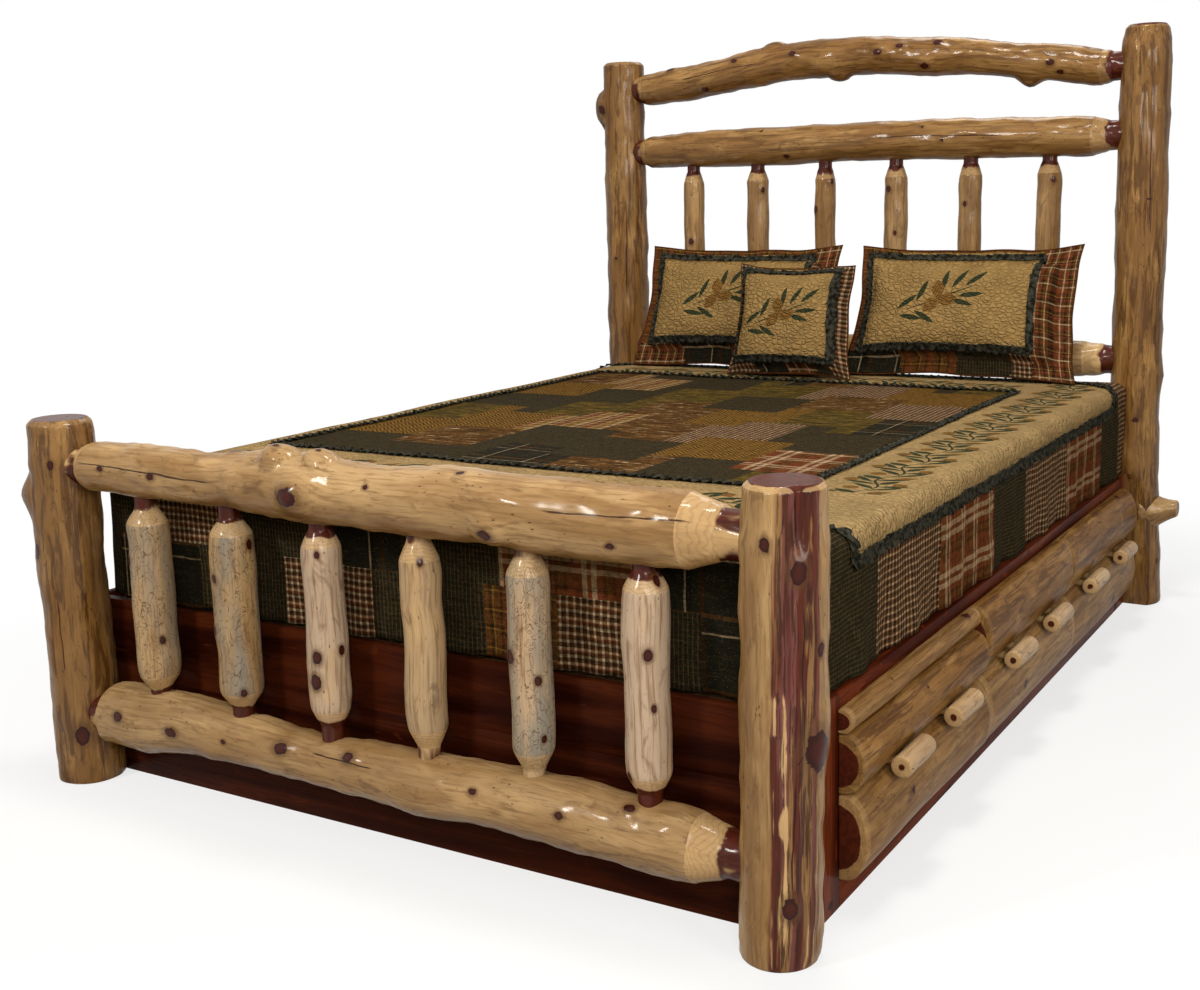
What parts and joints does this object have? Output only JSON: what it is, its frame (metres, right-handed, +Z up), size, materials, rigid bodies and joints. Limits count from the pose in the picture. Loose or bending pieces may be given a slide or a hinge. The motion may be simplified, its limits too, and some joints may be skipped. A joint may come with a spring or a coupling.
{
  "type": "log bed",
  "caption": "Rustic storage bed of peeled log posts, rails and spindles, with half log drawers under the mattress, a patchwork quilt and pillows",
  "frame": {"origin": "on the floor, midway between the foot posts and the head posts and midway between the sides", "axes": "+X across the bed to the side the picture shows, +Y from foot to head, +Z up"},
  "size_m": [1.786, 2.328, 1.5382],
  "materials": {
    "peeled_log": "gloss varnish",
    "cedar_board": "gloss varnish",
    "inner_board": "unfinished",
    "drawer_board": "unfinished",
    "half_log": "gloss varnish",
    "pull_log": "gloss varnish",
    "bolt_steel": "zinc",
    "ticking": "woven",
    "quilt_cloth": "quilted cotton",
    "sham_cloth": "quilted cotton",
    "accent_cloth": "cotton"
  },
  "bodies": {
    "bed": {"foot_post_left": "peeled_log", "foot_post_right": "peeled_log", "head_post_left": "peeled_log", "head_post_right": "peeled_log", "foot_top_rail": "peeled_log", "foot_bottom_rail": "peeled_log", "head_arch_rail": "peeled_log", "head_upper_rail": "peeled_log", "head_lower_rail": "peeled_log", "foot_spindle_1": "peeled_log", "foot_spindle_2": "peeled_log", "foot_spindle_3": "peeled_log", "foot_spindle_4": "peeled_log", "foot_spindle_5": "peeled_log", "foot_spindle_6": "peeled_log", "head_spindle_1": "peeled_log", "head_spindle_2": "peeled_log", "head_spindle_3": "peeled_log", "head_spindle_4": "peeled_log", "head_spindle_5": "peeled_log", "head_spindle_6": "peeled_log", "case_top_rail_right": "cedar_board", "case_top_rail_left": "cedar_board", "case_bottom_rail_right": "cedar_board", "case_bottom_rail_left": "cedar_board", "case_stiles_right": "cedar_board", "case_stiles_left": "cedar_board", "foot_panel": "cedar_board", "head_panel": "cedar_board", "centre_partition": "inner_board", "cross_partitions": "inner_board", "deck_panels": "inner_board", "drawer_runners": "inner_board", "bed_bolts": "bolt_steel", "mattress": "ticking", "quilt": "quilt_cloth", "sham_left": "sham_cloth", "sham_right": "sham_cloth", "accent_pillow": "accent_cloth"},
    "right_foot_drawer": {"right_foot_drawer_box": "drawer_board", "right_foot_drawer_front": "half_log", "right_foot_drawer_pulls": "pull_log"},
    "right_middle_drawer": {"right_middle_drawer_box": "drawer_board", "right_middle_drawer_front": "half_log", "right_middle_drawer_pulls": "pull_log"},
    "right_head_drawer": {"right_head_drawer_box": "drawer_board", "right_head_drawer_front": "half_log", "right_head_drawer_pulls": "pull_log"},
    "left_foot_drawer": {"left_foot_drawer_box": "drawer_board", "left_foot_drawer_front": "half_log", "left_foot_drawer_pulls": "pull_log"},
    "left_middle_drawer": {"left_middle_drawer_box": "drawer_board", "left_middle_drawer_front": "half_log", "left_middle_drawer_pulls": "pull_log"},
    "left_head_drawer": {"left_head_drawer_box": "drawer_board", "left_head_drawer_front": "half_log", "left_head_drawer_pulls": "pull_log"}
  },
  "joints": [
    {"name": "right_foot_drawer_slide", "type": "slide", "parent": "bed", "child": "right_foot_drawer", "axis": [1, 0, 0], "range_m": [0, 0.5]},
    {"name": "right_middle_drawer_slide", "type": "slide", "parent": "bed", "child": "right_middle_drawer", "axis": [1, 0, 0], "range_m": [0, 0.5]},
    {"name": "right_head_drawer_slide", "type": "slide", "parent": "bed", "child": "right_head_drawer", "axis": [1, 0, 0], "range_m": [0, 0.5]},
    {"name": "left_foot_drawer_slide", "type": "slide", "parent": "bed", "child": "left_foot_drawer", "axis": [-1, 0, 0], "range_m": [0, 0.5]},
    {"name": "left_middle_drawer_slide", "type": "slide", "parent": "bed", "child": "left_middle_drawer", "axis": [-1, 0, 0], "range_m": [0, 0.5]},
    {"name": "left_head_drawer_slide", "type": "slide", "parent": "bed", "child": "left_head_drawer", "axis": [-1, 0, 0], "range_m": [0, 0.5]}
  ]
}
